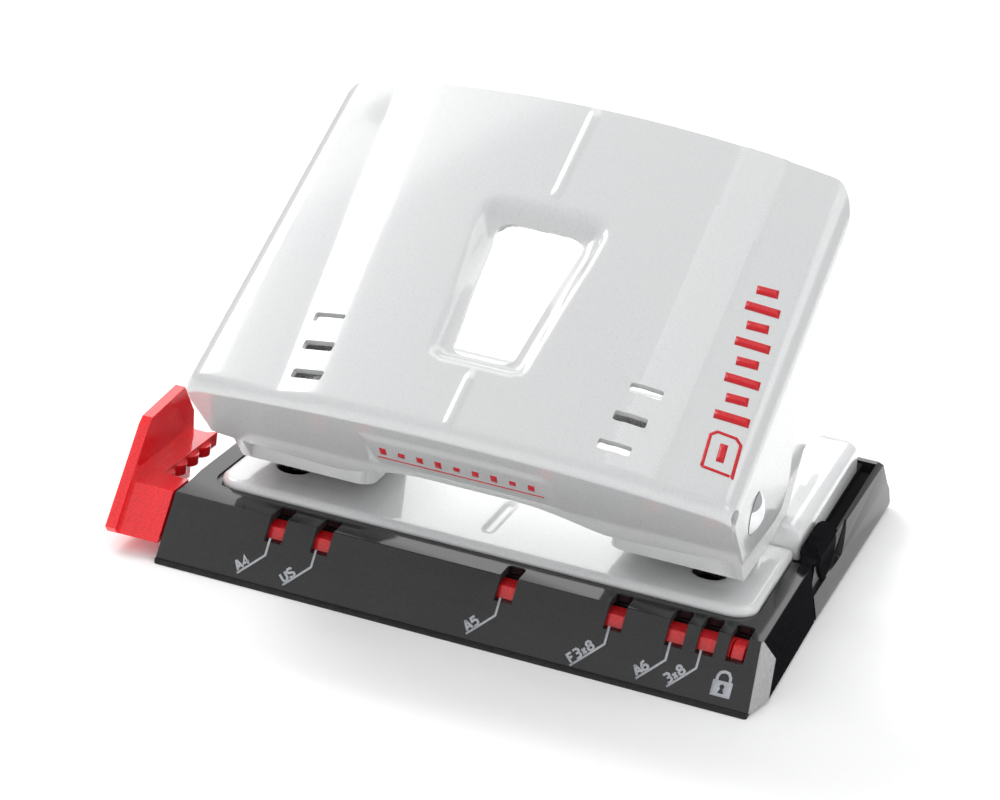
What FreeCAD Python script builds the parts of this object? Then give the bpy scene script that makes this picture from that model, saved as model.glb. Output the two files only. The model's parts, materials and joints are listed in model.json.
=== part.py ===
import FreeCAD, Part
import math
import os

os.makedirs("parts", exist_ok=True)
V = FreeCAD.Vector

# Two-hole desk punch, in millimetres.
# Origin: centre of the resting face, halfway between the two pins.
# +X runs along the paper edge to the handle's lock side, +Y to the rear, +Z up.

# ---- driving dimensions: punching geometry -------------------------------
HOLE_SPACING = 80.0        # centre to centre of the two punched holes
HOLE_TO_EDGE = 12.0        # hole centre to the edge of the sheet
PIN_X = HOLE_SPACING / 2
PIN_Y = -30.0
PIN_R = 3.0
RUN_FIT = 0.04             # radial clearance of a pin in its bore
STOP_Y = PIN_Y + HOLE_TO_EDGE + 0.1

# ---- driving dimensions: levels ------------------------------------------
FOOT_H = 0.8               # thickness of the rubber mat under the base
PAN_TOP = 2.0
DECK_BOTTOM = 8.6
DECK_TOP = 11.0
CREST_Z = 11.5             # crest between front slope and top band
TABLE_TOP = 12.9
THROAT_ROOF = 16.0         # underside of the punch brackets
PLATE_EDGE_Z = 15.8
PLATE_TOP = 17.0

# ---- driving dimensions: base in plan ------------------------------------
FRONT_Y = -56.5
CREST_Y = -50.0
PART_Y = -12.5             # joint between front shell and chip drawer
REAR_DECK_Y = 46.4
REAR_Y = 56.5
CREST_X = 54.75
SHOULDER_X = 55.1          # top of the side facets
WAIST_X = 56.4             # edge between upper and lower side facets
WAIST_Z = 5.6
REAR_SKIRT_X = 58.5        # the base widens slightly to the rear
SKIRT_X = 57.5
TABLE_X = 51.3
TABLE_FRONT_Y = -42.8
TABLE_REAR_Y = -10.6
CAVITY_X = 53.1

# ---- driving dimensions: paper guide -------------------------------------
STOWED_STOP_X = 63.1       # stop face to punch centre with the guide pushed in
GUIDE_TRAVEL = 85.4        # travel to the longest marked sheet
LOCK_WINDOW_X = 50.95
WINDOW_W = 3.2
FIN_T = 2.0
LONGEST_SHEET = STOWED_STOP_X + GUIDE_TRAVEL
HALF_LENGTHS = [LONGEST_SHEET, 139.7, 105.0, 85.0, 74.0, 68.5, STOWED_STOP_X]

# ---- driving dimensions: handle and pivot --------------------------------
PIVOT_Y = -47.0
PIVOT_Z = 33.0
PIVOT_R = 2.5
SWING = 27.0               # degrees from rest to fully pressed
TILT = 30.7                # handle slope at rest
HANDLE_Y = -70.0
HANDLE_Z = 44.0
HANDLE_L = 79.0
HANDLE_HALF_W = 49.2
SHEET = 1.2
ARCH_R = 215.0
BEND_R = 4.0
BAR_R = 3.0
EAR_OUT = 47.6

# ---- derived punching motion ---------------------------------------------
ARM = PIN_Y - PIVOT_Y
BAR_Z = PIVOT_Z + ARM * math.tan(math.radians(SWING / 2))
HEAD_GAP = 0.28
HEAD_TOP = BAR_Z - BAR_R - HEAD_GAP
HEAD_H = 2.5
HEAD_R = 5.2
PIN_TIP = THROAT_ROOF + 0.4


# ---- shape helpers --------------------------------------------------------
def box(x0, x1, y0, y1, z0, z1):
    return Part.makeBox(x1 - x0, y1 - y0, z1 - z0, V(x0, y0, z0))


def tube_z(x, y, r, z0, z1):
    return Part.makeCylinder(r, z1 - z0, V(x, y, z0), V(0, 0, 1))


def tube_x(y, z, r, x0, x1):
    return Part.makeCylinder(r, x1 - x0, V(x0, y, z), V(1, 0, 0))


def polygon(points):
    return Part.Face(Part.makePolygon(points + [points[0]]))


def prism_x(yz, x0, x1):
    """Solid of an outline in the YZ plane, from x0 to x1."""
    return polygon([V(x0, y, z) for y, z in yz]).extrude(V(x1 - x0, 0, 0))


def prism_z(xy, z0, z1):
    """Solid of an outline in the XY plane, from z0 to z1."""
    return polygon([V(x, y, z0) for x, y in xy]).extrude(V(0, 0, z1 - z0))


def slab(x_half, y0, y1, z0, z1, r):
    """Plate centred on X = 0 with rounded vertical corners."""
    plate = box(-x_half, x_half, y0, y1, z0, z1)
    upright = [e for e in plate.Edges if abs(e.tangentAt(e.FirstParameter).z) > 0.9]
    return plate.makeFillet(r, upright)


def loft(low, high):
    """Solid between two closed outlines with the same number of corners."""
    wires = [Part.makePolygon(p + [p[0]]) for p in (low, high)]
    return Part.makeLoft(wires, True, True)


def cut(shape, *tools):
    for tool in tools:
        shape = shape.cut(tool)
    return shape


def fuse(*shapes):
    result = shapes[0]
    for other in shapes[1:]:
        result = result.fuse(other)
    return result.removeSplitter()


def facets(low, high):
    """Solid between two rings of points, its sides split into flat triangles."""
    sides = [polygon(low), polygon(high)]
    for k in range(len(low)):
        after = (k + 1) % len(low)
        sides.append(polygon([low[k], low[after], high[after]]))
        sides.append(polygon([low[k], high[after], high[k]]))
    solid = Part.makeSolid(Part.makeShell(sides))
    if solid.Volume < 0:
        solid.reverse()
    return solid


def mirror_x(shape):
    return shape.mirror(V(0, 0, 0), V(1, 0, 0))


def rounded(shape, r, test):
    """Fillet the edges whose midpoint passes the test."""
    picked = []
    for e in shape.Edges:
        middle = e.valueAt((e.FirstParameter + e.LastParameter) / 2)
        if test(middle, e):
            picked.append(e)
    return shape.makeFillet(r, picked)


# ---- base -----------------------------------------------------------------
RAIL_REAR_Y = -44.9        # rear wall of the guide channel
RAIL_END_X = 53.4
RAIL_ROOF_Z = 9.9
COVER_TOP = 3.2


def window_x(half_length):
    """Place of a format window: the index tab is under it when the stop is
    at that half length from the punch centre."""
    return LOCK_WINDOW_X - (half_length - STOWED_STOP_X)


def base_shell():
    """Black front moulding: sloped face, windows, guide channel, table seat."""
    front = {FOOT_H: FRONT_Y, WAIST_Z: -53.6, CREST_Z: CREST_Y}
    front_x = {FOOT_H: CREST_X + 1.0, WAIST_Z: CREST_X + 0.55, CREST_Z: CREST_X}
    facet_y = {FOOT_H: -49.0, WAIST_Z: -42.3, CREST_Z: CREST_Y + 0.6}
    side_x = {FOOT_H: SKIRT_X, WAIST_Z: WAIST_X, CREST_Z: SHOULDER_X}

    def ring(z):
        right = [(front_x[z], front[z]), (side_x[z], facet_y[z]), (side_x[z], PART_Y)]
        left = [(-side_x[z], PART_Y), (-side_x[z], -38.0), (-CREST_X, -42.5), (-CREST_X, front[z])]
        return [V(x, y, z) for x, y in right + left]
    body = fuse(facets(ring(FOOT_H), ring(WAIST_Z)), facets(ring(WAIST_Z), ring(CREST_Z)))
    seat_gap = 0.1
    seat = slab(TABLE_X + seat_gap, TABLE_FRONT_Y - seat_gap, 0, DECK_TOP, 20, 5.0)
    cavity = box(-CAVITY_X, CAVITY_X, -43.2, PART_Y + 1, -1, 9.4)
    channel_yz = [(-53.2, -1), (-53.2, 3.4), (-49.2, RAIL_ROOF_Z), (RAIL_REAR_Y, RAIL_ROOF_Z)]
    channel = prism_x(channel_yz + [(RAIL_REAR_Y, -1)], -60, RAIL_END_X)
    body = cut(body, seat, cavity, channel)
    for half_length in HALF_LENGTHS:
        x = window_x(half_length)
        window = box(x - WINDOW_W / 2, x + WINDOW_W / 2, -56, -44.95, 7.6, 12)
        window = rounded(window, 1.0, lambda m, e: abs(m.y + 44.95) < 0.01 and e.Length < 5)
        body = body.cut(window)
    for side in (-1, 1):
        body = body.cut(tube_z(side * PIN_X, PIN_Y, 6.0, 8, 12))
    return body


def guide_cover():
    """Strip that closes the guide channel from below."""
    return box(-54.5, RAIL_END_X - 0.1, -53.1, RAIL_REAR_Y - 0.1, FOOT_H, COVER_TOP)


RIB_IN = 51.7
RIB_OUT = 54.8
SCREW_X = (RIB_IN + RIB_OUT) / 2
SCREW_YS = (-8.0, 41.0)
SCREW_R = 0.9
SCREW_HEAD_R = 1.4


def screw_places():
    return [(side * SCREW_X, y) for side in (-1, 1) for y in SCREW_YS]


def floor_pan():
    """Bottom plate with side ribs that carry the rear deck."""
    pan = box(-CAVITY_X, CAVITY_X, -43.1, PART_Y, FOOT_H, PAN_TOP)
    pan = pan.fuse(box(-RIB_OUT, RIB_OUT, PART_Y, 46.0, FOOT_H, PAN_TOP))
    for side in (-1, 1):
        x0, x1 = sorted((side * RIB_IN, side * RIB_OUT))
        pan = pan.fuse(box(x0, x1, PART_Y + 0.3, 46.0, PAN_TOP, DECK_BOTTOM))
    for x, y in screw_places():
        pan = cut(pan, tube_z(x, y, SCREW_R + 0.1, 0, 9), tube_z(x, y, 1.5, 0, FOOT_H + 1.3))
    return pan.removeSplitter()


def base_screws():
    """Four small screws that hold the pan to the rear deck."""
    group = []
    for x, y in screw_places():
        head = tube_z(x, y, SCREW_HEAD_R, FOOT_H + 0.1, FOOT_H + 1.3)
        slot = box(x - 1.0, x + 1.0, y - 0.2, y + 0.2, 0, FOOT_H + 0.6)
        shank = tube_z(x, y, SCREW_R, FOOT_H + 1.3, DECK_BOTTOM + 0.7)
        group.append(head.fuse(shank).cut(slot))
    return Part.makeCompound(group)


CHANNEL_FLOOR = 9.4
CHANNEL_IN = 52.6


def rear_deck():
    """Black deck under the rear plate, with the lock's channel at its right."""
    deck = box(-CHANNEL_IN, CHANNEL_IN, PART_Y + 0.3, REAR_DECK_Y, DECK_BOTTOM, DECK_TOP)
    deck = deck.fuse(box(CHANNEL_IN, 55.0, PART_Y + 0.3, REAR_DECK_Y, DECK_BOTTOM, CHANNEL_FLOOR))
    deck = deck.fuse(box(-55.0, -CHANNEL_IN, PART_Y + 0.3, REAR_DECK_Y, DECK_BOTTOM, CHANNEL_FLOOR))
    for x, y in screw_places():
        deck = deck.cut(tube_z(x, y, SCREW_R, 8, DECK_BOTTOM + 0.7))
    return deck.removeSplitter()


def paper_table():
    """White steel table with the two die seats and a pressed centre crease."""
    table = slab(TABLE_X, TABLE_FRONT_Y, TABLE_REAR_Y + 8, DECK_TOP, TABLE_TOP, 5.0)
    table = table.cut(box(-60, 60, TABLE_REAR_Y, 0, 10, 14))
    table = rounded(table, 0.8, lambda m, e: m.z > TABLE_TOP - 0.01 and m.y < TABLE_REAR_Y - 0.01)
    crease = prism_z([(-0.8, -36.5), (0.8, -36.5), (0.8, -21.0), (-0.8, -21.0)], TABLE_TOP - 0.5, 14)
    table = table.cut(crease)
    for side in (-1, 1):
        table = table.cut(tube_z(side * PIN_X, PIN_Y, 5.0, 10, 14))
    return table


def plate_form(inset, z0):
    """Domed form of the rear plate, shrunk by inset on every side."""
    def ring(x, y0, y1, z):
        c = 2.5
        right = [(x, y0), (x, y1 - c), (x - c, y1)]
        return [V(px, py, z) for px, py in right + [(-px, py) for px, py in reversed(right)]]
    foot = ring(52.4 - inset, -10.4 + inset, 44.5 - inset, z0)
    edge = ring(51.7 - inset, -9.8 + inset, 43.6 - inset, PLATE_EDGE_Z - inset)
    top = ring(48.6 - inset, -6.0 + inset, 40.0 - inset, PLATE_TOP - inset)
    return fuse(loft(foot, edge), loft(edge, top))


def rear_plate():
    """White steel plate behind the table, raised and slightly domed."""
    outer = plate_form(0, DECK_TOP)
    return outer.cut(plate_form(SHEET, DECK_TOP - 1))


# ---- punch brackets -------------------------------------------------------
BRACKET_IN = 22.5
LIP_Y = -37.0
LIP_TOP = 21.6
BOTTOM_T = 1.4
BUSH_R = 4.2
BUSH_TOP = 22.9


def right_bracket():
    """Folded steel bracket that overhangs the paper slot and carries a pin
    and one side of the handle's pivot."""
    x0, x1 = BRACKET_IN, EAR_OUT
    bend_r = 3.0
    wall_top = 24.0
    floor = box(x0, x1, LIP_Y, STOP_Y + 1.4, THROAT_ROOF, THROAT_ROOF + BOTTOM_T)
    lip = box(x0, x1, LIP_Y, LIP_Y + 1.2, THROAT_ROOF, LIP_TOP)
    inner = box(x0, x0 + 1.4, LIP_Y, STOP_Y + 1.4, THROAT_ROOF, wall_top)
    trough = fuse(floor, lip, inner)
    corner = box(x0 - 1, x0 + bend_r, LIP_Y - 1, LIP_Y + bend_r, 10, 30)
    trough = trough.cut(corner.cut(tube_z(x0 + bend_r, LIP_Y + bend_r, bend_r, 10, 30)))
    elbow = tube_z(x0 + bend_r, LIP_Y + bend_r, bend_r, THROAT_ROOF, LIP_TOP)
    elbow = elbow.cut(tube_z(x0 + bend_r, LIP_Y + bend_r, bend_r - 1.2, 10, 30))
    elbow = elbow.common(corner)
    stop = box(x0, x1 - 1.6, STOP_Y, STOP_Y + 1.4, TABLE_TOP, wall_top)
    foot = box(x0 + 1.5, x1 - 2.2, STOP_Y, -10.8, TABLE_TOP, TABLE_TOP + 1.4)
    ear_yz = [(-51.5, 29.5), (-43.0, 21.6), (LIP_Y, THROAT_ROOF), (-12.0, THROAT_ROOF)]
    ear_yz += [(-12.0, PLATE_TOP), (-4.5, PLATE_TOP), (-1.5, 23.0), (1.2, 27.5), (4.5, 28.8)]
    ear_yz += [(8.6, 27.9), (31.0, 21.3), (33.0, 24.4), (31.2, 25.7), (-20.0, 35.6)]
    ear_yz += [(-23.0, 33.0), (-24.0, 25.0), (-35.8, 25.0), (-37.0, 33.0), (-42.5, 36.6)]
    ear = prism_x(ear_yz, x1 - 1.6, x1)
    ear = ear.fuse(tube_x(PIVOT_Y, PIVOT_Z, 5.4, x1 - 1.6, x1))
    fold_yz = [(-18.0, 35.2), (31.0, 25.7), (31.0, 24.4), (-18.0, 33.9)]
    fold = prism_x(fold_yz, x1 - 3.6, x1 - 1.6)
    bracket = fuse(trough, elbow, stop, foot, ear, fold)
    bracket = bracket.cut(tube_z(PIN_X, PIN_Y, BUSH_R, 10, 20))
    bracket = bracket.cut(tube_x(PIVOT_Y, PIVOT_Z, PIVOT_R, 40, 50))
    for x, y in rivet_places():
        bracket = bracket.cut(tube_z(x, y, 1.2, 10, 15))
    return bracket


def rivet_places():
    return [(x, -13.8) for x in (29.0, 41.0)]


def bracket_rivets():
    """Rivets through the brackets' feet, into the table and the base shell."""
    group = []
    for side in (-1, 1):
        for x, y in rivet_places():
            shank = tube_z(side * x, y, 1.2, TABLE_TOP, TABLE_TOP + 1.4)
            head = tube_z(side * x, y, 2.2, TABLE_TOP + 1.4, TABLE_TOP + 2.2)
            group.append(shank.fuse(head))
    return Part.makeCompound(group)


def right_pin_bush():
    bush = tube_z(PIN_X, PIN_Y, BUSH_R, THROAT_ROOF, BUSH_TOP)
    return bush.cut(tube_z(PIN_X, PIN_Y, PIN_R + RUN_FIT, 10, 30))


def right_die():
    """Hardened ring in the table that the pin shears against."""
    ring = tube_z(PIN_X, PIN_Y, 5.0, TABLE_TOP - 1.9, TABLE_TOP)
    return ring.cut(tube_z(PIN_X, PIN_Y, PIN_R + RUN_FIT, 10, 14))


def right_punch_pin():
    """Pin with a domed head and a notched, hollow-ground cutting end."""
    shank = tube_z(PIN_X, PIN_Y, PIN_R, PIN_TIP, HEAD_TOP - HEAD_H)
    head = tube_z(PIN_X, PIN_Y, HEAD_R, HEAD_TOP - HEAD_H, HEAD_TOP)
    head = rounded(head, 0.8, lambda m, e: m.z > HEAD_TOP - 0.01 and e.Length > 20)
    notch_yz = [(PIN_Y - 3.2, PIN_TIP - 0.1), (PIN_Y, PIN_TIP + 1.6), (PIN_Y + 3.2, PIN_TIP - 0.1)]
    notch = prism_x(notch_yz, PIN_X - 4, PIN_X + 4)
    return shank.fuse(head).cut(notch).removeSplitter()


SPRING_R = 4.95
WIRE_R = 0.35
SPRING_TURNS = 5


def right_pin_spring():
    """Return spring around the bush, from the bracket to the pin's head."""
    low = THROAT_ROOF + BOTTOM_T + WIRE_R + 0.02
    high = HEAD_TOP - HEAD_H - WIRE_R - 0.05
    height = high - low
    helix = Part.makeHelix(height / SPRING_TURNS, height, SPRING_R)
    section = Part.Wire(Part.makeCircle(WIRE_R, V(SPRING_R, 0, 0), V(0, 1, 0)))
    coil = Part.Wire(helix).makePipeShell([section], True, True)
    coil.translate(V(PIN_X, PIN_Y, low))
    return coil


# ---- handle ---------------------------------------------------------------
def to_handle(shape):
    """Move a shape from the handle's own frame (X, along, normal) to rest."""
    shape.rotate(V(0, 0, 0), V(1, 0, 0), TILT)
    shape.translate(V(0, HANDLE_Y, HANDLE_Z))
    return shape


def handle_frame(y, z):
    """Along and normal coordinates of a point at rest."""
    tilt = math.radians(TILT)
    dy = y - HANDLE_Y
    dz = z - HANDLE_Z
    along = dy * math.cos(tilt) + dz * math.sin(tilt)
    normal = dz * math.cos(tilt) - dy * math.sin(tilt)
    return along, normal


def arch_form(inset, along0, along1):
    """Handle section: a shallow arch with rounded shoulders and side walls."""
    half = HANDLE_HALF_W - inset
    bend = BEND_R - inset
    shoulder = half - bend
    drop = ARCH_R - math.sqrt(ARCH_R ** 2 - shoulder ** 2)
    low = -60.0
    a = V(-half, along0, low)
    b = V(-half, along0, -inset - drop - bend)
    c = V(-shoulder, along0, -inset - drop)
    d = V(0, along0, -inset)
    e = V(shoulder, along0, -inset - drop)
    f = V(half, along0, -inset - drop - bend)
    g = V(half, along0, low)
    diagonal = bend * math.sqrt(0.5)
    bc = V(-shoulder - diagonal, along0, -inset - drop - bend + diagonal)
    ef = V(shoulder + diagonal, along0, -inset - drop - bend + diagonal)
    edges = [Part.LineSegment(a, b).toShape(), Part.Arc(b, bc, c).toShape()]
    edges += [Part.Arc(c, d, e).toShape(), Part.Arc(e, ef, f).toShape()]
    edges += [Part.LineSegment(f, g).toShape(), Part.LineSegment(g, a).toShape()]
    return Part.Face(Part.Wire(edges)).extrude(V(0, along1 - along0, 0))


SKIRT_TOP = (-2.0, 0.0)
SKIRT_LOW = (7.5, -27.0)
FLANGE_FOOT = [SKIRT_LOW, (11.5, -29.0), (20.0, -35.0)]
SKIRT_EDGE = [(10.0, -24.1), (12.5, -24.6), (18.0, -27.2), (21.8, -29.4), (26.0, -30.6)]
SKIRT_EDGE += [(33.0, -30.0), (42.0, -28.7), (47.8, -27.4)]


def side_form(inset):
    """Side view of the handle: skirt in front, flange tapering to the rear."""
    slope = (SKIRT_LOW[0] - SKIRT_TOP[0]) / (SKIRT_TOP[1] - SKIRT_LOW[1])
    low = -31.0 - 20.0 * (inset > 0)
    front_top = (SKIRT_TOP[0] + inset - slope * 5, 5.0)
    front_low = (SKIRT_TOP[0] + inset - slope * low, low)
    if inset > 0:
        rear = HANDLE_L - inset
        return [front_top, front_low, (rear, low), (rear, 5.0)]
    flange = [FLANGE_FOOT[-1], (28.0, -40.0), (32.0, -41.8), (34.0, -41.4), (37.3, -38.0)]
    flange += [(38.5, -31.7), (40.3, -26.6), (42.7, -23.2), (46.9, -21.2), (53.1, -18.6)]
    flange += [(60.2, -12.9), (66.2, -8.7), (71.5, -6.9), (HANDLE_L, -6.9)]
    return [front_top, front_low] + flange + [(HANDLE_L, 5.0)]


def handle():
    """Pressed steel lever: arched top, finger hole, slots, skirt and flanges."""
    width = HANDLE_HALF_W + 5
    outer = arch_form(0, -20, 90).common(prism_x(side_form(0), -width, width))
    inner = arch_form(SHEET, -20, 90).common(prism_x(side_form(SHEET), -width, width))
    shell = outer.cut(inner)
    corner_r = 4.5
    plan = slab(HANDLE_HALF_W, -40, HANDLE_L, -60, 10, corner_r)
    shell = shell.common(plan)
    edge_x = SKIRT_EDGE[-1][0]
    wave_xz = [(-x, z) for x, z in reversed(SKIRT_EDGE)] + SKIRT_EDGE + [(edge_x, -60), (-edge_x, -60)]
    wave = polygon([V(x, -10, z) for x, z in wave_xz]).extrude(V(0, 24, 0))
    foot_xz = FLANGE_FOOT + [(20.0, -60), (-10, -60), (-10, SKIRT_LOW[1])]
    shell = cut(shell, wave, prism_x(foot_xz, edge_x, width), prism_x(foot_xz, -width, -edge_x))
    hole_low = (5.5, 16.5)
    hole_high = (8.4, 49.2)
    hole_xy = [(-hole_low[0], hole_low[1]), (hole_low[0], hole_low[1])]
    hole_xy += [(hole_high[0], hole_high[1]), (-hole_high[0], hole_high[1])]
    hole = prism_z(hole_xy, -10, 10)
    upright = [e for e in hole.Edges if abs(e.tangentAt(e.FirstParameter).z) > 0.9]
    shell = shell.cut(hole.makeFillet(3.0, upright))
    for side in (-1, 1):
        for row in range(3):
            along = 5.6 + 6.6 * row
            middle = side * (27.3 + 0.66 * row)
            slot = box(middle - 2.9, middle + 2.9, along - 1.1, along + 1.1, -6, 10)
            shell = shell.cut(slot)
    along, normal = handle_frame(PIVOT_Y, PIVOT_Z)
    shell = shell.cut(tube_x(along, normal, PIVOT_R + 0.05, -60, 60))
    return to_handle(shell)


def press_bar():
    """Bar between the flanges that pushes both pins down."""
    reach = HANDLE_HALF_W - SHEET
    bar = tube_x(PIN_Y, BAR_Z, BAR_R, -reach, reach)
    return bar


def right_pivot_rivet():
    """Domed rivet: shank pressed in the bracket, running in the flange."""
    shank = tube_x(PIVOT_Y, PIVOT_Z, PIVOT_R, EAR_OUT - 1.6, HANDLE_HALF_W + 0.1)
    tail = tube_x(PIVOT_Y, PIVOT_Z, PIVOT_R + 1.2, EAR_OUT - 2.6, EAR_OUT - 1.6)
    head_r = 3.9
    dome_h = 1.5
    ball_r = (head_r ** 2 + dome_h ** 2) / (2 * dome_h)
    face_x = HANDLE_HALF_W + 0.1
    ball = Part.makeSphere(ball_r, V(face_x + dome_h - ball_r, PIVOT_Y, PIVOT_Z))
    dome = ball.common(tube_x(PIVOT_Y, PIVOT_Z, head_r, face_x, face_x + dome_h + 1))
    return fuse(shank, tail, dome)


# ---- lock slider, chip drawer ---------------------------------------------
LOCK_FRONT = PART_Y + 0.6
LOCK_REAR = 3.4
LOCK_TOP = 15.0
SCOOP_X = 55.65            # face of the drawer's wall behind the slider's pad
SCOOP_Z = WAIST_Z - 0.2
PAD_X = SCOOP_X + 0.2


def lock_slider():
    """Thumb slider in the deck's right channel, with a pad over its outer edge."""
    x0 = CHANNEL_IN + 0.35
    crown_in = CHANNEL_IN - 0.15
    crown_low = 13.0
    bridge_low = CREST_Z + 0.25
    xz = [(x0, CHANNEL_FLOOR + 0.1), (55.1, CHANNEL_FLOOR + 0.1), (55.1, bridge_low), (PAD_X, bridge_low)]
    xz += [(PAD_X + 0.6, LOCK_TOP - 1.6), (PAD_X - 0.7, LOCK_TOP - 0.1), (54.3, LOCK_TOP)]
    xz += [(crown_in + 0.9, LOCK_TOP), (crown_in, LOCK_TOP - 1.0), (crown_in, crown_low), (x0, crown_low)]
    body = polygon([V(x, LOCK_FRONT, z) for x, z in xz]).extrude(V(0, LOCK_REAR - LOCK_FRONT, 0))
    ramp_yz = [(LOCK_REAR - 1.8, LOCK_TOP + 0.1), (LOCK_REAR + 1, LOCK_TOP + 0.1), (LOCK_REAR + 1, 11.0)]
    nose_yz = [(LOCK_FRONT - 1, 12.6), (LOCK_FRONT - 1, LOCK_TOP + 1), (LOCK_FRONT + 1.5, LOCK_TOP + 1)]
    body = cut(body, prism_x(ramp_yz, 50, 60), prism_x(nose_yz + [(LOCK_FRONT + 1.5, LOCK_TOP)], 50, 60))
    pad_yz = [(LOCK_FRONT, 12.0), (LOCK_FRONT, 13.2), (1.2, 13.2), (2.7, 11.6), (3.2, 9.8), (2.9, 8.2)]
    pad_yz += [(1.7, 6.7), (0.0, 5.9), (-2.2, 5.7), (-4.4, 6.1)]
    pad = prism_x(pad_yz, PAD_X, PAD_X + 0.6)
    return fuse(body, pad)


def drawer_side(rear):
    """Outer section of the drawer's wall at the parting line or at the rear."""
    widen = (REAR_SKIRT_X - SKIRT_X) * rear
    return [(55.3, FOOT_H + 0.1), (SKIRT_X + widen, FOOT_H + 0.1), (SKIRT_X + widen, 1.6),
            (WAIST_X + widen, WAIST_Z), (SHOULDER_X + 0.5 + widen, CREST_Z - 0.6), (55.3, CREST_Z)]


def chip_drawer():
    """Black drawer: tray for the chips and the rear outer walls of the base."""
    tray_x = 51.3
    wall = 1.0
    deck_y = 46.6
    tray = box(-tray_x, tray_x, -42.0, deck_y + 0.6, PAN_TOP + 0.3, 8.2)
    tray = tray.cut(box(-tray_x + wall, tray_x - wall, -41.0, deck_y, PAN_TOP + 1.3, 9.0))
    near = [V(x, PART_Y + 0.7, z) for x, z in drawer_side(0)]
    far = [V(x, REAR_Y, z) for x, z in drawer_side(1)]
    wall_side = loft(near, far)
    scoop_yz = [(PART_Y, SCOOP_Z), (11.2, SCOOP_Z), (13.2, 7.0), (14.4, 9.2), (14.9, 12), (PART_Y, 12)]
    scoop = prism_x(scoop_yz, SCOOP_X, 60)
    wall_side = wall_side.cut(scoop)
    rear_crest_y = 48.4
    rear_foot_z = 1.8
    rear_yz = [(deck_y, FOOT_H + 0.1), (REAR_Y, FOOT_H + 0.1), (REAR_Y, rear_foot_z)]
    rear_yz += [(rear_crest_y, CREST_Z), (deck_y, CREST_Z)]
    rear = prism_x(rear_yz, -55.4, 55.4)
    hollow = prism_x([(deck_y + 0.9, 2.0), (53.6, 2.0), (deck_y + 0.9, 9.4)], -50.0, 50.0)
    rear = rear.cut(hollow)
    slope_yz = [(rear_crest_y, CREST_Z + 0.01), (REAR_Y, rear_foot_z), (REAR_Y + 1, rear_foot_z)]
    slope_yz += [(REAR_Y + 1, 13), (rear_crest_y, 13)]
    slope = prism_x(slope_yz, 50, 60)
    corner = prism_z([(54.5, REAR_Y + 1), (61, REAR_Y + 1), (61, 52.0), (REAR_SKIRT_X, 54.0)], -1, 20)
    wall_side = cut(wall_side, slope, corner)
    return fuse(tray, rear, wall_side, mirror_x(wall_side))


# ---- paper guide ----------------------------------------------------------
HEAD_IN_X = -55.2          # head meets the base's left end
HEAD_LOW = 3.0
SHELF_Z = 11.4
SHELF_LOW = 8.6
SHELF_IN_X = -60.3
SHELF_REAR_Y = -20.2
BAR_YZ = [(-52.4, 3.8), (-49.1, 9.2), (-45.4, 9.2), (-45.4, 3.8)]
TAB_W = 2.4


def paper_guide():
    """Red side stop: upright fin, finger shelf and a bar through the base."""
    stop = -STOWED_STOP_X
    back = stop - FIN_T
    fin_yz = [(-55.3, HEAD_LOW), (-56.3, 4.2), (-45.4, 20.6), (-44.0, 21.8), (-30.0, 23.4)]
    fin = prism_x(fin_yz + [(-24.6, 17.0), (-23.6, SHELF_Z), (-23.6, HEAD_LOW)], back, stop)
    front_yz = [(-55.2, HEAD_LOW), (-50.1, SHELF_Z), (-43.3, SHELF_Z), (-43.3, HEAD_LOW)]
    front = prism_x(front_yz, stop, HEAD_IN_X)
    shelf_xy = [(back, -43.3), (SHELF_IN_X, -43.3), (SHELF_IN_X, SHELF_REAR_Y + 1.5)]
    shelf_xy += [(SHELF_IN_X - 1.5, SHELF_REAR_Y), (back + 0.8, SHELF_REAR_Y), (back, SHELF_REAR_Y + 0.8)]
    shelf = prism_z(shelf_xy, SHELF_LOW, SHELF_Z)
    pitch = 5.4
    for k in range(4):
        y = -43.3 + pitch * (k + 0.5)
        shelf = shelf.fuse(tube_z(SHELF_IN_X - 1.6, y, 2.6, SHELF_LOW, SHELF_Z - 0.8))
    bar = prism_x(BAR_YZ, stop, 52.9)
    pocket = box(LOCK_WINDOW_X - TAB_W / 2 - 0.2, LOCK_WINDOW_X + TAB_W / 2 + 0.2, -54, -46.2, 4.8, 11)
    return fuse(fin, front, shelf, bar).cut(pocket)


def index_tab():
    """Sprung tab at the bar's end that shows and catches in the windows."""
    yz = [(-51.2, 6.15), (-49.2, 9.45), (-46.5, 9.45), (-46.5, 6.15)]
    return prism_x(yz, LOCK_WINDOW_X - TAB_W / 2, LOCK_WINDOW_X + TAB_W / 2)


def base_mat():
    """Rubber mat that the punch stands on."""
    lip = box(-54.8, 55.6, FRONT_Y - 0.7, -14.0, 0, FOOT_H - 0.02)
    lip = rounded(lip, 0.6, lambda m, e: m.y < FRONT_Y and abs(e.tangentAt(0).z) > 0.9)
    return fuse(lip, slab(51.0, -52.0, 45.0, 0, FOOT_H, 4.0))


# ---- write the parts ------------------------------------------------------
def mirrored_pairs():
    """Pieces made for the right side and mirrored to the left."""
    right = {"bracket": right_bracket(), "pin_bush": right_pin_bush(), "die": right_die()}
    right.update({"punch_pin": right_punch_pin(), "pivot_rivet": right_pivot_rivet()})
    pairs = {}
    for name, shape in right.items():
        pairs["right_" + name] = shape
        pairs["left_" + name] = mirror_x(shape)
    spring = right_pin_spring()
    pairs["right_pin_spring"] = spring
    pairs["left_pin_spring"] = spring.translated(V(-2 * PIN_X, 0, 0))
    return pairs


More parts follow.
